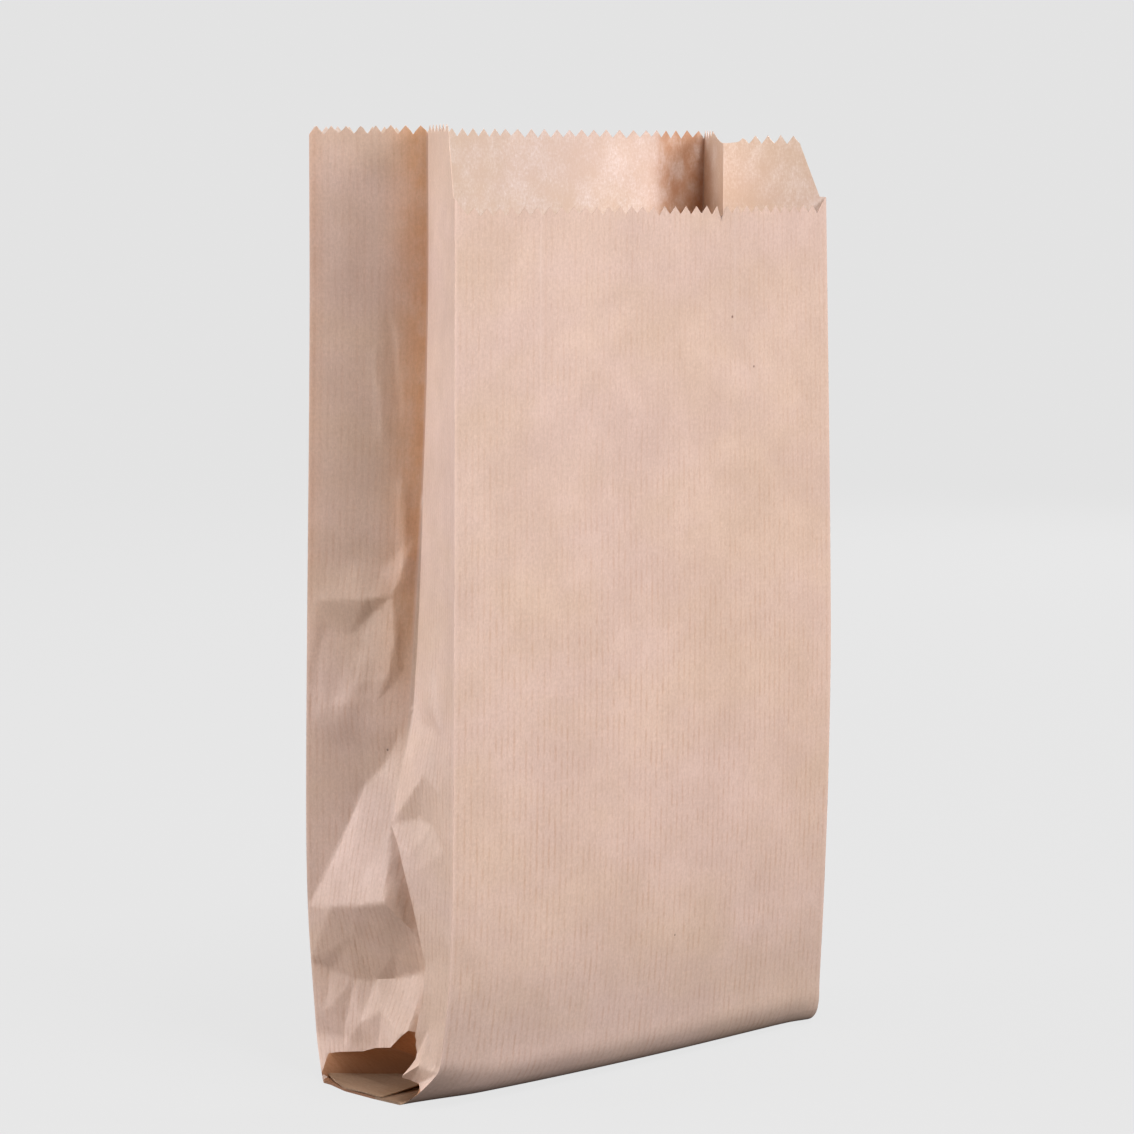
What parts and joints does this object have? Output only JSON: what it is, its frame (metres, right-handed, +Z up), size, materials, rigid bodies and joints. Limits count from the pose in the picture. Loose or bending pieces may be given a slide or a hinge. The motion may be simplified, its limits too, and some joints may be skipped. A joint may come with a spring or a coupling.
{
  "type": "kraft paper bag",
  "caption": "Empty kraft paper bag with side gussets, standing open on its folded bottom, with a saw-toothed mouth and a low front lip.",
  "frame": {"origin": "on the floor, under the middle of the bag's bounding box", "axes": "+Z up the bag, towards its mouth; -Y out of the front panel, the one with the low lip; +X to the right seen from the front"},
  "size_m": [0.207, 0.0895, 0.344],
  "materials": {
    "kraft_paper": "unbleached machine-glazed kraft with fine upright ribs, satin"
  },
  "bodies": {
    "root": {"paper_bag": "kraft_paper"}
  },
  "joints": []
}
